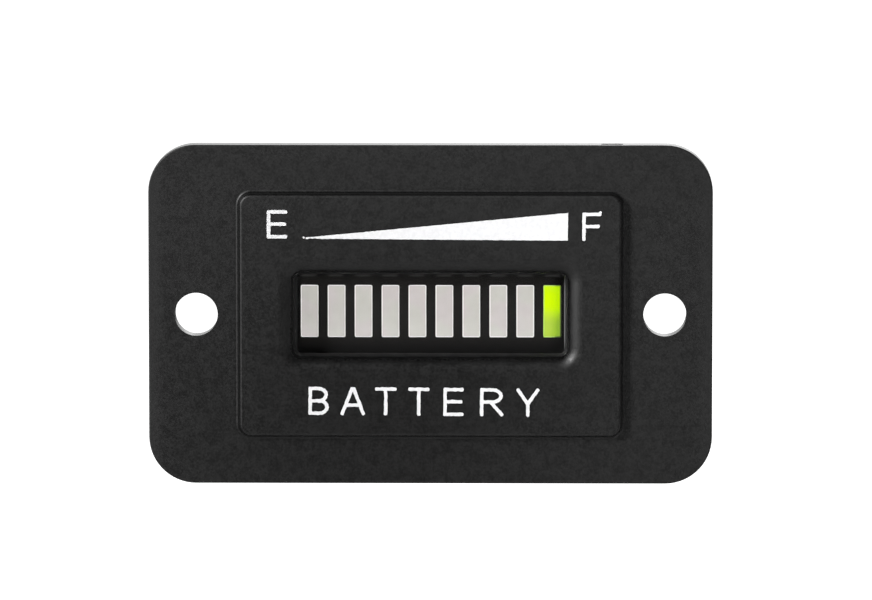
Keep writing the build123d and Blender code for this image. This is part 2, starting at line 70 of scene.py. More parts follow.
# Places read from the CAD nodes
HOUSING_LOW, HOUSING_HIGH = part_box("front_housing")
FACE_Y = HOUSING_LOW.y
LENS_FRONT_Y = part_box("window_lens")[0].y
LENS_POINTS = [vertex.co for vertex in frame["nodes"]["window_lens"].data.vertices]
LENS_FLAT_RIGHT = max(point.x for point in LENS_POINTS if point.y < LENS_FRONT_Y + 0.01 * MM)
DISPLAY_LOW, DISPLAY_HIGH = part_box("display_body")
BAR_NODES = [f"bar_segment_{number:02d}" for number in range(1, 11)]
FIRST_BAR_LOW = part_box(BAR_NODES[0])[0]
LIT_BAR_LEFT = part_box(BAR_NODES[-1])[0].x
BAR_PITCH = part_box(BAR_NODES[1])[0].x - FIRST_BAR_LOW.x

# The raised face and its window lie inside these limits
RAISED_X = 0.72 * HOUSING_HIGH.x
RAISED_Z = 0.75 * HOUSING_HIGH.z
RAISED_Y = -0.8 * MM

# Surfaces count as walls, or as steep ones, by how far they lean forward, from 0 for a wall to 1 for a face
WALL_LIMITS = (0.45, 0.85)
STEEP_LIMITS = (0.25, 0.60)

# Grain of the black plastic
GRAIN_SIZE = 0.22 * MM
GRAIN_DEPTH = 0.009 * MM
PATCH_SIZE = 1.1 * MM
PATCH_SHARE = 0.5
MOTTLE_RANGE = (0.55, 0.95)
MOTTLE_ROUGHNESS = 0.055
EDGE_POLISH = 0.12
STEEP_ROUGHNESS = 0.60

# Slow changes of roughness over the black plastic, tuned until areas of its face were as bright as in the
# photograph. Their cause isn't known, and it may be the photograph's lighting
SLOPE_ROUGHNESS = 0.035
SMOOTH_CENTRE = (-3 * MM, FACE_Y, -8 * MM)
SMOOTH_NEAR = 2 * MM
SMOOTH_FAR = 27 * MM
SMOOTH_AMOUNT = 0.115
END_WIDTH = 1.9 * MM
END_ROUGHER = 0.20

# The clear lens. Its chamfers glow, to stand for the light that clear plastic carries to its edges
LENS_INDEX = 1.14
LENS_FLATNESS = 0.9
CHAMFER_LEAN = 0.5
DASH_RANGE = (-0.3, 0.6)
GLOW_RIGHT = (0.19, 0.04)
GLOW_RIGHT_HEIGHTS = (2.0 * MM, 4.1 * MM)
GLOW_RIGHT_RIM = (LENS_FLAT_RIGHT + 0.05 * MM, LENS_FLAT_RIGHT + 0.11 * MM)
GLOW_LEFT = 0.012
GLOW_TOP = 0.024
GLOW_FOOT = 0.004

# Printed legends, in millimetres from the centre of the face. A letter has its centre and its width, and
# these and the wedge's sizes follow the printing in the photograph
INK_THICKNESS = 0.012 * MM
PRINT_TURN = math.radians(-0.37)
PRINT_SHIFT = (-0.04, 0.09)
STROKE = 0.355
LETTER_HEIGHT = 2.89
LETTER_CORNER = 0.14
WORD_BASE = -10.35
WORD_LETTERS = [
    ("B", -11.28, 2.09),
    ("A", -7.80, 2.49),
    ("T", -4.44, 2.19),
    ("T", -1.07, 2.19),
    ("E", 2.47, 2.07),
    ("R", 6.37, 2.40),
    ("Y", 10.04, 2.36),
]
SCALE_BASE = 7.70
LOW_MARK = ("E", -15.61, 2.08)
FULL_MARK = ("F", 16.40, 1.93)
WEDGE_LEFT = -12.66
WEDGE_RIGHT = 13.98
WEDGE_TIP_HEIGHT = 0.12
WEDGE_HEIGHT = 2.83
PRINT_STEP = 0.035
PRINT_MARGIN = 0.5
WELD_DISTANCE = 0.0005 * MM

# Ragged edges of the print. Each kind of wave has its size and its share
RAGGED_WAVES = ((0.9, 0.6), (0.3, 0.4))
WAVE_COUNT = 9
TIP_WAVE_HEIGHT = 0.05
TIP_WAVE_SIZE = 0.6
TIP_WAVE_FADE = 2.0
TIP_WAVE_TOP = SCALE_BASE + 0.15

# Stray ink beside the wedge's tip and at the full mark's upper right: centre in X and Z, and radius
SPECK = (WEDGE_LEFT - 0.22, SCALE_BASE + 0.1, 0.11)
SPUR = (FULL_MARK[1] + FULL_MARK[2] / 2 - 0.08, SCALE_BASE + LETTER_HEIGHT + 0.02, 0.12)

# Display face print. Its pale rim round each bar and its corners are in millimetres, like the legends
MASK_RIM = 0.11
MASK_CORNER = 0.16
DISPLAY_CORNER = 0.4
MASK_THICKNESS = 0.02 * MM
# Widths of the painted shade on the print, to the left of the first bar and below the bars, where the
# window's walls shade it
MASK_PAINTED_SHADE_LEFT = 0.35 * MM
MASK_PAINTED_SHADE_BELOW = 1.5 * MM


# ---- Camera and studio ----


def direction(azimuth, elevation):
    """Unit vector from the object towards a place at this azimuth and elevation, in degrees."""
    turn = math.radians(azimuth)
    lift = math.radians(elevation)
    return Vector((math.sin(turn) * math.cos(lift), -math.cos(turn) * math.cos(lift), math.sin(lift)))


def look_at(obj, target):
    obj.rotation_euler = (target - obj.location).to_track_quat("-Z", "Y").to_euler()


def make_camera():
    camera = bpy.data.objects.new("camera", bpy.data.cameras.new("camera"))
    bpy.context.scene.collection.objects.link(camera)
    camera.data.lens = CAMERA_LENS
    camera.data.sensor_width = CAMERA_SENSOR
    camera.data.clip_start = CAMERA_NEAR
    camera.data.clip_end = CAMERA_FAR
    camera.location = CAMERA_AIM + direction(CAMERA_AZIMUTH, CAMERA_ELEVATION) * CAMERA_DISTANCE
    look_at(camera, CAMERA_AIM)
    bpy.context.scene.camera = camera


def area_light(name, azimuth, elevation, distance, width, height, watts):
    """A soft box that faces the gauge and isn't seen itself."""
    light = bpy.data.lights.new(name, "AREA")
    light.shape = "RECTANGLE"
    light.size = width
    light.size_y = height
    light.energy = watts
    obj = bpy.data.objects.new(name, light)
    bpy.context.scene.collection.objects.link(obj)
    obj.location = direction(azimuth, elevation) * distance
    look_at(obj, Vector((0, 0, 0)))
    obj.visible_camera = False
    return obj


def make_lights():
    """A key at the upper left that makes only glints, a soft box under it, a front fill that makes none, and
    a back fill."""
    key = area_light("key", azimuth=-47, elevation=24, distance=0.60, width=0.12, height=0.16, watts=5.5)
    key.visible_diffuse = False
    fill = area_light(
        "front_fill", azimuth=24, elevation=14, distance=0.26, width=0.06, height=0.06, watts=0.69
    )
    fill.visible_glossy = False
    area_light("left_box", azimuth=-48, elevation=0, distance=0.50, width=0.24, height=0.35, watts=0.35)
    area_light("back_fill", azimuth=160, elevation=35, distance=0.80, width=0.60, height=0.60, watts=3.0)


def make_world():
    """Soft white, dim on the side that the gauge faces, so that its black plastic stays black."""
    world = bpy.data.worlds.new("studio")
    world.use_nodes = True
    bpy.context.scene.world = world
    tree = world.node_tree
    background = tree.nodes["Background"]
    background.inputs["Color"].default_value = (1, 1, 1, 1)
    place = add(tree, "ShaderNodeTexCoord")
    axes = add(tree, "ShaderNodeSeparateXYZ", {"Vector": place.outputs["Generated"]})
    level = remap(tree, axes.outputs["Y"], 0.0, WORLD_RISE, WORLD_FRONT, WORLD_BACK)
    ray = add(tree, "ShaderNodeLightPath")
    strength = blend_values(tree, ray.outputs["Is Camera Ray"], level, WORLD_SEEN)
    tree.links.new(strength, background.inputs["Strength"])


def make_floor():
    bpy.ops.mesh.primitive_plane_add(size=FLOOR_SIZE, location=(0, 0, HOUSING_LOW.z - FLOOR_DROP))
    floor = bpy.context.object
    floor.name = "floor"
    floor.data.materials.append(floor_material())


# ---- Node helpers ----


def add(tree, kind, values=None, **settings):
    """A new node with its settings, and with plain values or links on its inputs."""
    made = tree.nodes.new(kind)
    for name, value in settings.items():
        setattr(made, name, value)
    for socket, value in (values or {}).items():
        if isinstance(value, bpy.types.NodeSocket):
            tree.links.new(value, made.inputs[socket])
        else:
            made.inputs[socket].default_value = value
    return made


def new_material(name, values):
    """A material whose one Principled shader has these plain values."""
    material = bpy.data.materials.new(name)
    material.use_nodes = True
    shader = material.node_tree.nodes["Principled BSDF"]
    for socket, value in values.items():
        shader.inputs[socket].default_value = value
    return material, material.node_tree, shader


def object_place(tree):
    return add(tree, "ShaderNodeTexCoord").outputs["Object"]


def noise(tree, place, size, detail=2.0, roughness=0.5):
    """Noise from 0 to 1 whose features are about this size, in metres."""
    values = {"Vector": place, "Scale": 1 / size, "Detail": detail, "Roughness": roughness}
    return add(tree, "ShaderNodeTexNoise", values).outputs["Fac"]


def remap(tree, value, low, high, to_low, to_high):
    values = {"Value": value, "From Min": low, "From Max": high, "To Min": to_low, "To Max": to_high}
    return add(tree, "ShaderNodeMapRange", values, interpolation_type="SMOOTHSTEP").outputs["Result"]


def calculate(tree, operation, first, *others):
    """The operation on one value, or on the first and each of the others in turn."""
    if not others:
        return add(tree, "ShaderNodeMath", {0: first}, operation=operation).outputs[0]
    result = first
    for value in others:
        result = add(tree, "ShaderNodeMath", {0: result, 1: value}, operation=operation).outputs[0]
    return result


def blend_values(tree, factor, first, second):
    return add(tree, "ShaderNodeMix", {0: factor, 2: first, 3: second}).outputs[0]


def blend_colours(tree, factor, first, second):
    made = add(tree, "ShaderNodeMix", {0: factor}, data_type="RGBA")
    for index, colour in ((6, first), (7, second)):
        if isinstance(colour, bpy.types.NodeSocket):
            tree.links.new(colour, made.inputs[index])
        else:
            made.inputs[index].default_value = (*colour, 1.0)
    return made.outputs[2]


def bump(tree, shader, height, depth):
    made = add(tree, "ShaderNodeBump", {"Height": height, "Distance": depth, "Strength": 1.0})
    tree.links.new(made.outputs["Normal"], shader.inputs["Normal"])


def drive(tree, shader, socket, value):
    tree.links.new(value, shader.inputs[socket])


def grey(level):
    return (level, level, level)


# ---- Materials ----


def floor_material():
    """A white sweep that looks evenly lit, but throws little light up on to the gauge."""
    material, tree, shader = new_material("floor", {"Base Color": (*grey(FLOOR_GREY), 1), "Roughness": 0.9})
    shader.inputs["Specular IOR Level"].default_value = 0.0
    ray = add(tree, "ShaderNodeLightPath")
    shader.inputs["Emission Color"].default_value = (1, 1, 1, 1)
    tree.links.new(ray.outputs["Is Camera Ray"], shader.inputs["Emission Strength"])
    return material


def facing_sideways(tree, steepest, flattest):
    """1 on walls steeper than the first limit, 0 on faces flatter than the second, with a ramp between."""
    normal = add(tree, "ShaderNodeTexCoord").outputs["Normal"]
    depth = add(tree, "ShaderNodeSeparateXYZ", {"Vector": normal}).outputs["Y"]
    return remap(tree, calculate(tree, "ABSOLUTE", depth), steepest, flattest, 1.0, 0.0)


def raised_face(tree, place):
    """1 on the raised face and in its window, and 0 on the rest of the gauge."""
    offset = add(tree, "ShaderNodeVectorMath", {0: place}, operation="ABSOLUTE").outputs[0]
    axes = add(tree, "ShaderNodeSeparateXYZ", {"Vector": offset})
    depth = add(tree, "ShaderNodeSeparateXYZ", {"Vector": place}).outputs["Y"]
    inside_x = calculate(tree, "LESS_THAN", axes.outputs["X"], RAISED_X)
    inside_z = calculate(tree, "LESS_THAN", axes.outputs["Z"], RAISED_Z)
    in_front = calculate(tree, "LESS_THAN", depth, RAISED_Y)
    return calculate(tree, "MULTIPLY", inside_x, inside_z, in_front)


def slow_roughness(tree, place):
    """Slow changes of roughness: more at both ends and to the upper right, and less under the window."""
    axes = add(tree, "ShaderNodeSeparateXYZ", {"Vector": place})
    rise = remap(tree, axes.outputs["Z"], HOUSING_LOW.z, HOUSING_HIGH.z, -SLOPE_ROUGHNESS, SLOPE_ROUGHNESS)
    lean = remap(tree, axes.outputs["X"], HOUSING_LOW.x, HOUSING_HIGH.x, -SLOPE_ROUGHNESS, SLOPE_ROUGHNESS)
    offset = add(tree, "ShaderNodeVectorMath", {0: place, 1: SMOOTH_CENTRE}, operation="DISTANCE")
    smoother = remap(tree, offset.outputs["Value"], SMOOTH_NEAR, SMOOTH_FAR, -SMOOTH_AMOUNT, 0.0)
    across = calculate(tree, "ABSOLUTE", axes.outputs["X"])
    ends = remap(tree, across, HOUSING_HIGH.x - END_WIDTH, HOUSING_HIGH.x, 0.0, END_ROUGHER)
    return calculate(tree, "ADD", rise, lean, smoother, ends)


def grained_plastic(name, dark, light, face_roughness, wall_roughness):
    """Black moulded plastic. Its faces have a fine grain and faint mottling, and its walls are satin. On the
    raised face and in the window the rounds are polished and the steep walls matt."""
    material, tree, shader = new_material(name, {"Specular IOR Level": 0.42})
    place = object_place(tree)
    fine = noise(tree, place, GRAIN_SIZE, 2.0, 0.6)
    patches = calculate(tree, "MULTIPLY", noise(tree, place, PATCH_SIZE, 3.0, 0.6), PATCH_SHARE)
    mottle = calculate(tree, "ADD", fine, patches)
    shade = remap(tree, mottle, *MOTTLE_RANGE, 0.0, 1.0)
    drive(tree, shader, "Base Color", blend_colours(tree, shade, grey(dark), grey(light)))
    smoothest = face_roughness - MOTTLE_ROUGHNESS
    roughest = face_roughness + MOTTLE_ROUGHNESS
    spotted = remap(tree, mottle, *MOTTLE_RANGE, smoothest, roughest)
    grained = calculate(tree, "ADD", spotted, slow_roughness(tree, place))
    wall = facing_sideways(tree, *WALL_LIMITS)
    steep = facing_sideways(tree, *STEEP_LIMITS)
    polished = blend_values(tree, steep, EDGE_POLISH, STEEP_ROUGHNESS)
    smooth = blend_values(tree, raised_face(tree, place), wall_roughness, polished)
    drive(tree, shader, "Roughness", blend_values(tree, wall, grained, smooth))
    flattened = calculate(tree, "MULTIPLY", mottle, calculate(tree, "SUBTRACT", 1.0, wall))
    bump(tree, shader, flattened, GRAIN_DEPTH)
    return material


def ink_material():
    """White screen-printed ink, a little uneven."""
    material, tree, shader = new_material("white_ink", {"Roughness": 0.5, "Specular IOR Level": 0.4})
    place = object_place(tree)
    patches = noise(tree, place, 0.35 * MM, 3.0, 0.6)
    cover = remap(tree, patches, 0.3, 0.7, 0.0, 1.0)
    drive(tree, shader, "Base Color", blend_colours(tree, cover, (0.78, 0.78, 0.79), (0.85, 0.85, 0.86)))
    bump(tree, shader, patches, 0.004 * MM)
    return material


def mask_material():
    """Satin black print on the display's face, with painted shade that makes it blackest to the left of the
    bars and below them.
    """
    material, tree, shader = new_material("display_print", {"Roughness": 0.45, "Specular IOR Level": 0.25})
    place = object_place(tree)
    fine = noise(tree, place, 0.12 * MM, 2.0, 0.6)
    axes = add(tree, "ShaderNodeSeparateXYZ", {"Vector": place})
    # Painted shade: the print turns blacker to the left of the bars and below them, as if shaded by the
    # window's walls
    left = remap(tree, axes.outputs["X"], FIRST_BAR_LOW.x - MASK_PAINTED_SHADE_LEFT, FIRST_BAR_LOW.x, 1.0, 0.0)
    below = remap(tree, axes.outputs["Z"], FIRST_BAR_LOW.z - MASK_PAINTED_SHADE_BELOW, FIRST_BAR_LOW.z, 1.0, 0.0)
    thin = blend_colours(tree, fine, (0.0064, 0.0058, 0.0054), (0.0098, 0.0090, 0.0083))
    colour = blend_colours(tree, calculate(tree, "MAXIMUM", left, below), thin, grey(0.0014))
    drive(tree, shader, "Base Color", colour)
    bump(tree, shader, fine, 0.003 * MM)
    return material


def reflector_material():
    """White moulded plastic. Its front edges show round every bar, and round the lit one they are painted
    green, as painted light from that bar.
    """
    material, tree, shader = new_material("display_plastic", {"Roughness": 0.4})
    place = object_place(tree)
    patches = noise(tree, place, 0.6 * MM, 2.0)
    white = blend_colours(tree, patches, (0.80, 0.79, 0.77), (0.88, 0.87, 0.85))
    axes = add(tree, "ShaderNodeSeparateXYZ", {"Vector": place})
    # Painted light: the front edges beside the lit bar are coloured green as if lit by it
    beside = calculate(tree, "GREATER_THAN", axes.outputs["X"], LIT_BAR_LEFT - 2 * MASK_RIM * MM)
    on_front = calculate(tree, "LESS_THAN", axes.outputs["Y"], DISPLAY_LOW.y + MASK_THICKNESS)
    painted_glow_rim = calculate(tree, "MULTIPLY", beside, on_front)
    colour = blend_colours(tree, painted_glow_rim, white, (0.50, 0.78, 0.16))
    drive(tree, shader, "Base Color", colour)
    bump(tree, shader, noise(tree, place, 0.15 * MM), 0.003 * MM)
    return material


def place_in_bar(tree):
    """The outputs X and Z run from 0 to 1 across and up one bar."""
    place = add(tree, "ShaderNodeTexCoord").outputs["Generated"]
    return add(tree, "ShaderNodeSeparateXYZ", {"Vector": place}).outputs


def unlit_bar_material():
    """Frosted grey resin, here warmer and there cooler, and paler towards its foot, with painted shade
    darkening its upper part.
    """
    material, tree, shader = new_material("bar_unlit", {"Roughness": 0.38, "Specular IOR Level": 0.3})
    place = object_place(tree)
    clouds = noise(tree, place, 1.1 * MM, 2.0)
    # Painted shade: the bar is darker towards its top, as if shaded by the window's upper wall
    foot = remap(tree, place_in_bar(tree)["Z"], 0.0, 0.55, 1.0, 0.0)
    mix = calculate(tree, "MULTIPLY", calculate(tree, "ADD", foot, clouds), 0.5)
    warm = blend_colours(tree, mix, (0.525, 0.487, 0.477), (0.67, 0.63, 0.62))
    cool = blend_colours(tree, mix, (0.507, 0.497, 0.458), (0.65, 0.64, 0.60))
    tint = remap(tree, noise(tree, place, 3.2 * MM, 1.0), 0.40, 0.60, 0.0, 1.0)
    drive(tree, shader, "Base Color", blend_colours(tree, tint, warm, cool))
    bump(tree, shader, noise(tree, place, 0.08 * MM), 0.002 * MM)
    return material


def lit_bar_material():
    """The lit bar: yellow-green, brightest in its upper half, and greener towards its right side."""
    values = {"Base Color": (0.25, 0.35, 0.0, 1), "Roughness": 0.38, "Emission Strength": 1.0}
    material, tree, shader = new_material("bar_lit", values)
    shader.inputs["Specular IOR Level"].default_value = 0.1
    bar = place_in_bar(tree)
    clouds = noise(tree, object_place(tree), 1.2 * MM)
    sway = calculate(tree, "MULTIPLY", calculate(tree, "SUBTRACT", clouds, 0.5), 0.2)
    level = calculate(tree, "ADD", bar["Z"], sway)
    side = remap(tree, bar["X"], 0.25, 0.85, 0.0, 1.0)
    foot = blend_colours(tree, side, (0.22, 0.32, 0.070), (0.23, 0.40, 0.035))
    middle = blend_colours(tree, side, (0.42, 0.62, 0.0), (0.47, 0.77, 0.0))
    top = blend_colours(tree, side, (0.38, 0.57, 0.015), (0.42, 0.73, 0.005))
    lower = blend_colours(tree, remap(tree, level, 0.25, 0.62, 0.0, 1.0), foot, middle)
    colour = blend_colours(tree, remap(tree, level, 0.80, 1.02, 0.0, 1.0), lower, top)
    drive(tree, shader, "Emission Color", colour)
    return material


def lens_glow(tree, normal, place):
    """How brightly each chamfer glows with painted light: most beside the lit bar, and in dashes opposite
    the other bars, as painted reflections of them.
    """
    at_right = calculate(tree, "GREATER_THAN", normal["X"], CHAMFER_LEAN)
    at_left = calculate(tree, "LESS_THAN", normal["X"], -CHAMFER_LEAN)
    at_top = calculate(tree, "GREATER_THAN", normal["Z"], CHAMFER_LEAN)
    at_foot = calculate(tree, "LESS_THAN", normal["Z"], -CHAMFER_LEAN)
    rim = remap(tree, place["X"], *GLOW_RIGHT_RIM, 0.0, 1.0)
    height = calculate(tree, "ABSOLUTE", place["Z"])
    fading = remap(tree, height, *GLOW_RIGHT_HEIGHTS, *GLOW_RIGHT)
    turns = calculate(tree, "MULTIPLY", place["X"], 2 * math.pi / BAR_PITCH)
    dashes = remap(tree, calculate(tree, "COSINE", turns), *DASH_RANGE, 1.0, 0.0)
    sides = [
        calculate(tree, "MULTIPLY", at_right, rim, fading),
        calculate(tree, "MULTIPLY", at_left, GLOW_LEFT),
        calculate(tree, "MULTIPLY", at_top, GLOW_TOP, dashes),
        calculate(tree, "MULTIPLY", at_foot, GLOW_FOOT, dashes),
    ]
    on_chamfer = calculate(tree, "LESS_THAN", normal["Y"], -CHAMFER_LEAN)
    return calculate(tree, "MULTIPLY", calculate(tree, "ADD", *sides), on_chamfer)


def lens_material():
    """Clear plastic that shows what is behind it, glossy on its flat faces and glowing with painted light on
    its chamfers.
    """
    material, tree, shader = new_material("clear_lens", {})
    tree.nodes.remove(shader)
    facing = add(tree, "ShaderNodeTexCoord").outputs["Normal"]
    normal = add(tree, "ShaderNodeSeparateXYZ", {"Vector": facing}).outputs
    place = add(tree, "ShaderNodeSeparateXYZ", {"Vector": object_place(tree)}).outputs
    clear = add(tree, "ShaderNodeBsdfTransparent").outputs[0]
    gloss = add(tree, "ShaderNodeBsdfGlossy", {"Roughness": 0.03}).outputs[0]
    weight = add(tree, "ShaderNodeFresnel", {"IOR": LENS_INDEX}).outputs[0]
    polished = add(tree, "ShaderNodeMixShader", {0: weight, 1: clear, 2: gloss}).outputs[0]
    shine = add(tree, "ShaderNodeEmission", {"Strength": lens_glow(tree, normal, place)}).outputs[0]
    edges = add(tree, "ShaderNodeAddShader", {0: clear, 1: shine}).outputs[0]
    flat = calculate(tree, "GREATER_THAN", calculate(tree, "ABSOLUTE", normal["Y"]), LENS_FLATNESS)
    both = add(tree, "ShaderNodeMixShader", {0: flat, 1: edges, 2: polished}).outputs[0]
    tree.links.new(both, tree.nodes["Material Output"].inputs["Surface"])
    return material


def moulded_material(name, dark, light, roughness, grain=0.15 * MM):
    """Moulded plastic or ceramic with a fine grain."""
    material, tree, shader = new_material(name, {"Roughness": roughness})
    place = object_place(tree)
    fine = noise(tree, place, grain, 3.0)
    drive(tree, shader, "Base Color", blend_colours(tree, fine, dark, light))
    drive(tree, shader, "Roughness", remap(tree, fine, 0.3, 0.7, roughness - 0.06, roughness + 0.08))
    bump(tree, shader, fine, 0.004 * MM)
    return material


def metal_material(name, dark, light, roughness, along=(1.0, 0.12, 1.0)):
    """Plated metal with fine drawing lines along its longer way and faint stains."""
    material, tree, shader = new_material(name, {"Metallic": 1.0, "Roughness": roughness})
    place = object_place(tree)
    stretched = add(tree, "ShaderNodeVectorMath", {0: place, 1: along}, operation="MULTIPLY").outputs[0]
    lines = noise(tree, stretched, 0.05 * MM, 3.0, 0.6)
    stains = noise(tree, place, 1.2 * MM, 3.0)
    drive(tree, shader, "Base Color", blend_colours(tree, stains, dark, light))
    drive(tree, shader, "Roughness", remap(tree, lines, 0.3, 0.7, roughness - 0.05, roughness + 0.06))
    bump(tree, shader, lines, 0.0005 * MM)
    return material


def make_materials():
    """One material for each material slot in the record."""
    return {
        "housing_plastic": grained_plastic("housing_plastic", 0.0038, 0.0095, 0.50, 0.34),
        "cover_plastic": grained_plastic("cover_plastic", 0.012, 0.024, 0.46, 0.32),
        "clear_lens": lens_material(),
        "display_plastic": reflector_material(),
        "bar_unlit": unlit_bar_material(),
        "bar_lit": lit_bar_material(),
        "carrier_board": moulded_material("carrier_board", (0.70, 0.68, 0.58), (0.78, 0.76, 0.68), 0.5),
        "die": moulded_material("die", (0.60, 0.58, 0.35), (0.75, 0.72, 0.48), 0.25),
        "tinned_metal": metal_material("tinned_metal", (0.66, 0.66, 0.67), (0.78, 0.78, 0.79), 0.28),
        "board_laminate": moulded_material(
            "board_laminate", (0.012, 0.09, 0.035), (0.018, 0.12, 0.045), 0.3, 0.4 * MM
        ),
        "screw_steel": metal_material(
            "screw_steel", (0.55, 0.55, 0.56), (0.72, 0.72, 0.72), 0.3, (1.0, 1.0, 1.0)
        ),
        "chip_plastic": moulded_material("chip_plastic", grey(0.014), grey(0.022), 0.5),
        "capacitor_can": metal_material("capacitor_can", (0.75, 0.75, 0.77), (0.86, 0.86, 0.88), 0.25),
        "resistor_film": moulded_material("resistor_film", grey(0.012), grey(0.02), 0.2),
        "capacitor_ceramic": moulded_material(
            "capacitor_ceramic", (0.42, 0.28, 0.15), (0.52, 0.36, 0.2), 0.35
        ),
        "trimmer_plastic": moulded_material(
            "trimmer_plastic", (0.015, 0.06, 0.28), (0.02, 0.08, 0.34), 0.35
        ),
        "rotor_plastic": moulded_material("rotor_plastic", (0.72, 0.72, 0.68), (0.82, 0.82, 0.79), 0.4),
        "terminal_brass": metal_material("terminal_brass", (0.70, 0.68, 0.62), (0.82, 0.80, 0.75), 0.3),
    }


def paint_nodes(materials):
    """Gives every CAD node the material of its slot in the record. The window's walls don't mirror the bars,
    and the lit bar doesn't tint them."""
    for part in frame["record"]["subparts"]:
        obj = frame["nodes"][part["node"]]
        obj.data.materials.clear()
        obj.data.materials.append(materials[part["material_slot"]])
    for name in BAR_NODES:
        frame["nodes"][name].visible_glossy = False
    frame["nodes"][BAR_NODES[-1]].visible_diffuse = False


# ---- Flat printed shapes ----


def wobble(x, z, size, seed):
    """Smooth waves, about 1 high, that roughen a printed edge. x and z are in millimetres."""
    random = np.random.default_rng(seed)
    total = np.zeros_like(x)
    for _ in range(WAVE_COUNT):
        angle = random.uniform(0, 2 * math.pi)
        waves = 2 * math.pi / (size * random.uniform(0.6, 1.8))
        phase = random.uniform(0, 2 * math.pi)
        total += np.sin(waves * (x * math.cos(angle) + z * math.sin(angle)) + phase)
    return total / math.sqrt(WAVE_COUNT)


def stroke_distance(x, z, start, end, half_width, corner):
    """Distance to a straight pen stroke whose ends have slightly rounded corners; it is negative inside."""
    middle_x = (start[0] + end[0]) / 2
    middle_z = (start[1] + end[1]) / 2
    length = math.dist(start, end)
    along_x = (end[0] - start[0]) / length
    along_z = (end[1] - start[1]) / length
    along = np.abs((x - middle_x) * along_x + (z - middle_z) * along_z) - (length / 2 + half_width - corner)
    across = np.abs((z - middle_z) * along_x - (x - middle_x) * along_z) - (half_width - corner)
    outside = np.hypot(np.maximum(along, 0), np.maximum(across, 0))
    return outside + np.minimum(np.maximum(along, across), 0) - corner


def arc(centre, radius_x, radius_z, start, end, count=9):
    """Points on part of an ellipse, with angles in degrees from +X."""
    angles = np.radians(np.linspace(start, end, count))
    return [(centre[0] + radius_x * math.cos(a), centre[1] + radius_z * math.sin(a)) for a in angles]


# Plain capitals as pen strokes in a box from 0 to 1 each way
LETTER_STROKES = {
    "A": [[(0, 0), (0.46, 1), (0.54, 1), (1, 0)], [(0.17, 0.34), (0.83, 0.34)]],
    "B": [
        [(0, 0), (0, 1)] + arc((0.50, 0.75), 0.43, 0.25, 90, -90) + [(0, 0.5)],
        arc((0.52, 0.25), 0.48, 0.25, 90, -90) + [(0, 0)],
    ],
    "E": [[(1, 1), (0, 1), (0, 0), (1, 0)], [(0, 0.51), (0.93, 0.51)]],
    "F": [[(1, 1), (0, 1), (0, 0)], [(0, 0.51), (0.90, 0.51)]],
    "R": [
        [(0, 0), (0, 1)] + arc((0.54, 0.755), 0.41, 0.245, 90, -90) + [(0, 0.51)],
        [(0.44, 0.51), (1, 0)],
    ],
    "T": [[(0, 1), (1, 1)], [(0.5, 1), (0.5, 0)]],
    "Y": [[(0, 1), (0.5, 0.44)], [(1, 1), (0.5, 0.44)], [(0.5, 0.44), (0.5, 0)]],
}


def letter_distance(x, z, letter, centre, width, base):
    """Distance to a letter, in millimetres."""
    half = STROKE / 2
    left = centre - width / 2 + half
    span_x = width - STROKE
    span_z = LETTER_HEIGHT - STROKE
    best = np.full_like(x, 1e3)
    for points in LETTER_STROKES[letter]:
        placed = [(left + px * span_x, base + half + pz * span_z) for px, pz in points]
        for start, end in zip(placed, placed[1:]):
            best = np.minimum(best, stroke_distance(x, z, start, end, half, LETTER_CORNER))
    return best


def wedge_distance(x, z):
    """Distance to the long wedge between the low and full marks."""
    slope = math.atan2(WEDGE_HEIGHT - WEDGE_TIP_HEIGHT, WEDGE_RIGHT - WEDGE_LEFT)
    above = (z - SCALE_BASE - WEDGE_TIP_HEIGHT) * math.cos(slope) - (x - WEDGE_LEFT) * math.sin(slope)
    below = SCALE_BASE - z
    sides = np.maximum(x - WEDGE_RIGHT, WEDGE_LEFT - x)
    return np.maximum(np.maximum(above, below), sides)


def dot_distance(x, z, centre_x, centre_z, radius):
    return np.hypot(x - centre_x, z - centre_z) - radius


def outlines(field, low_x, low_z, step):
    """Closed outlines of the region where field is below 0, by marching squares."""
    inside = field < 0
    corners = np.stack([inside[:-1, :-1], inside[:-1, 1:], inside[1:, 1:], inside[1:, :-1]])
    mixed = corners.any(0) & ~corners.all(0)
    links = {}
    for row, column in zip(*np.nonzero(mixed)):
        ring = [(row, column), (row, column + 1), (row + 1, column + 1), (row + 1, column)]
        crossed = []
        for first, second in zip(ring, ring[1:] + ring[:1]):
            if inside[first] != inside[second]:
                crossed.append((min(first, second), max(first, second)))
        for first, second in zip(crossed[::2], crossed[1::2]):
            links.setdefault(first, []).append(second)
            links.setdefault(second, []).append(first)

    def crossing(edge):
        first, second = edge
        part = field[first] / (field[first] - field[second])
        row = first[0] + part * (second[0] - first[0])
        column = first[1] + part * (second[1] - first[1])
        return low_x + step * column, low_z + step * row

    loops = []
    while links:
        start = next(iter(links))
        loop = [start]
        current = links.pop(start)[0]
        while current != start:
            loop.append(current)
            following = links.pop(current)
            current = following[0] if following[1] == loop[-2] else following[1]
        loops.append([crossing(edge) for edge in loop])
    return loops


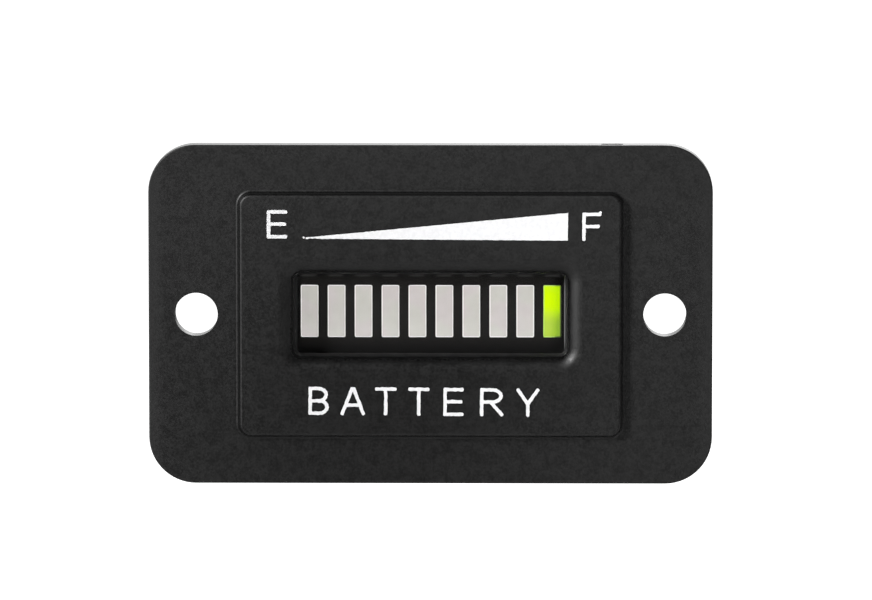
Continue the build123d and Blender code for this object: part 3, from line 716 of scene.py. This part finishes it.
def flat_piece(name, loops, front_y, thickness, material):
    """A thin closed plate with these outlines, in millimetres in X and Z; inner outlines are holes."""
    curve = bpy.data.curves.new(name, "CURVE")
    curve.dimensions = "2D"
    curve.fill_mode = "BOTH"
    curve.extrude = thickness / 2
    for loop in loops:
        spline = curve.splines.new("POLY")
        spline.points.add(len(loop) - 1)
        spline.points.foreach_set("co", [c for x, z in loop for c in (x * MM, z * MM, 0, 1)])
        spline.use_cyclic_u = True
    holder = bpy.data.objects.new(name + "_outline", curve)
    bpy.context.scene.collection.objects.link(holder)
    bpy.context.view_layer.update()
    mesh = bpy.data.meshes.new_from_object(holder.evaluated_get(bpy.context.evaluated_depsgraph_get()))
    bpy.data.objects.remove(holder)
    bpy.data.curves.remove(curve)
    mesh.name = name
    stand_up = Matrix.Rotation(math.pi / 2, 4, "X")
    mesh.transform(Matrix.Translation((0, front_y + thickness / 2, 0)) @ stand_up)
    work = bmesh.new()
    work.from_mesh(mesh)
    bmesh.ops.remove_doubles(work, verts=work.verts, dist=WELD_DISTANCE)
    bmesh.ops.recalc_face_normals(work, faces=work.faces)
    work.to_mesh(mesh)
    work.free()
    mesh.materials.clear()
    mesh.materials.append(material)
    piece = bpy.data.objects.new(name, mesh)
    bpy.context.scene.collection.objects.link(piece)
    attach(piece, BODY)
    return piece


def print_grid(box):
    """X and Z of the points where a printed shape is worked out, in a box from low to high each way."""
    low_x, high_x, low_z, high_z = box
    x = np.arange(low_x - PRINT_MARGIN, high_x + PRINT_MARGIN + PRINT_STEP, PRINT_STEP)
    z = np.arange(low_z - PRINT_MARGIN, high_z + PRINT_MARGIN + PRINT_STEP, PRINT_STEP)
    return np.meshgrid(x, z)


def print_shape(name, box, distance, roughness, seed, material):
    """Prints the region where distance(x, z) is below 0 on the face, with a slightly ragged edge."""
    x, z = print_grid(box)
    field = distance(x, z)
    for index, (size, share) in enumerate(RAGGED_WAVES):
        field += roughness * share * wobble(x, z, size, seed + index)
    cos, sin = math.cos(PRINT_TURN), math.sin(PRINT_TURN)
    right, up = PRINT_SHIFT
    loops = []
    for loop in outlines(field, x[0, 0], z[0, 0], PRINT_STEP):
        loops.append([(right + px * cos - pz * sin, up + px * sin + pz * cos) for px, pz in loop])
    flat_piece(name, loops, FACE_Y - INK_THICKNESS, INK_THICKNESS, material)


def letter_box(letters, base):
    """The box round a row of letters, from low to high in X and then in Z."""
    first, last = letters[0], letters[-1]
    return first[1] - first[2] / 2, last[1] + last[2] / 2, base, base + LETTER_HEIGHT


def make_legends(material):
    """The word under the window, and the low mark, wedge and full mark above it. The wedge has a ragged tip
    with a speck beside it, and the full mark has a small spur at its upper right."""

    def word(x, z):
        best = np.full_like(x, 1e3)
        for letter, centre, width in WORD_LETTERS:
            best = np.minimum(best, letter_distance(x, z, letter, centre, width, WORD_BASE))
        return best

    def low_mark(x, z):
        return letter_distance(x, z, *LOW_MARK, SCALE_BASE)

    def full_mark(x, z):
        return np.minimum(letter_distance(x, z, *FULL_MARK, SCALE_BASE), dot_distance(x, z, *SPUR))

    def wedge(x, z):
        fading = TIP_WAVE_HEIGHT * np.exp(-(x - WEDGE_LEFT) / TIP_WAVE_FADE)
        waves = np.where(z < TIP_WAVE_TOP, fading * wobble(x, z, TIP_WAVE_SIZE, 31), 0)
        return np.minimum(wedge_distance(x, z) + waves, dot_distance(x, z, *SPECK))

    word_box = letter_box(WORD_LETTERS, WORD_BASE)
    low_box = letter_box([LOW_MARK], SCALE_BASE)
    full_box = letter_box([FULL_MARK], SCALE_BASE)
    wedge_box = (WEDGE_LEFT, WEDGE_RIGHT, SCALE_BASE, SCALE_BASE + WEDGE_HEIGHT)
    print_shape("legend_word", word_box, word, roughness=0.022, seed=3, material=material)
    print_shape("legend_low_mark", low_box, low_mark, roughness=0.018, seed=7, material=material)
    print_shape("legend_full_mark", full_box, full_mark, roughness=0.018, seed=11, material=material)
    print_shape("legend_wedge", wedge_box, wedge, roughness=0.012, seed=17, material=material)


def rounded_rectangle(centre_x, centre_z, width, height, corner):
    """Outline of a rectangle with rounded corners, in millimetres."""
    x = width / 2 - corner
    z = height / 2 - corner
    points = []
    for sign_x, sign_z, start in ((1, 1, 0), (-1, 1, 90), (-1, -1, 180), (1, -1, 270)):
        points += arc((centre_x + sign_x * x, centre_z + sign_z * z), corner, corner, start, start + 90, 6)
    return points


def make_display_print(material):
    """Black print on the display's face, which leaves a thin pale rim round every bar."""
    size = (DISPLAY_HIGH - DISPLAY_LOW) / MM
    middle = (DISPLAY_HIGH + DISPLAY_LOW) / (2 * MM)
    loops = [rounded_rectangle(middle.x, middle.z, size.x, size.z, DISPLAY_CORNER)]
    for name in BAR_NODES:
        low, high = (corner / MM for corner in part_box(name))
        centre = (low + high) / 2
        opening = high - low
        width = opening.x + 2 * MASK_RIM
        height = opening.z + 2 * MASK_RIM
        loops.append(rounded_rectangle(centre.x, centre.z, width, height, MASK_CORNER))
    front_y = DISPLAY_LOW.y - MASK_THICKNESS
    flat_piece("display_print", loops, front_y, MASK_THICKNESS, material)


bpy.context.scene.view_settings.view_transform = "Standard"
make_camera()
make_world()
make_lights()
make_floor()
paint_nodes(make_materials())
make_legends(ink_material())
make_display_print(mask_material())
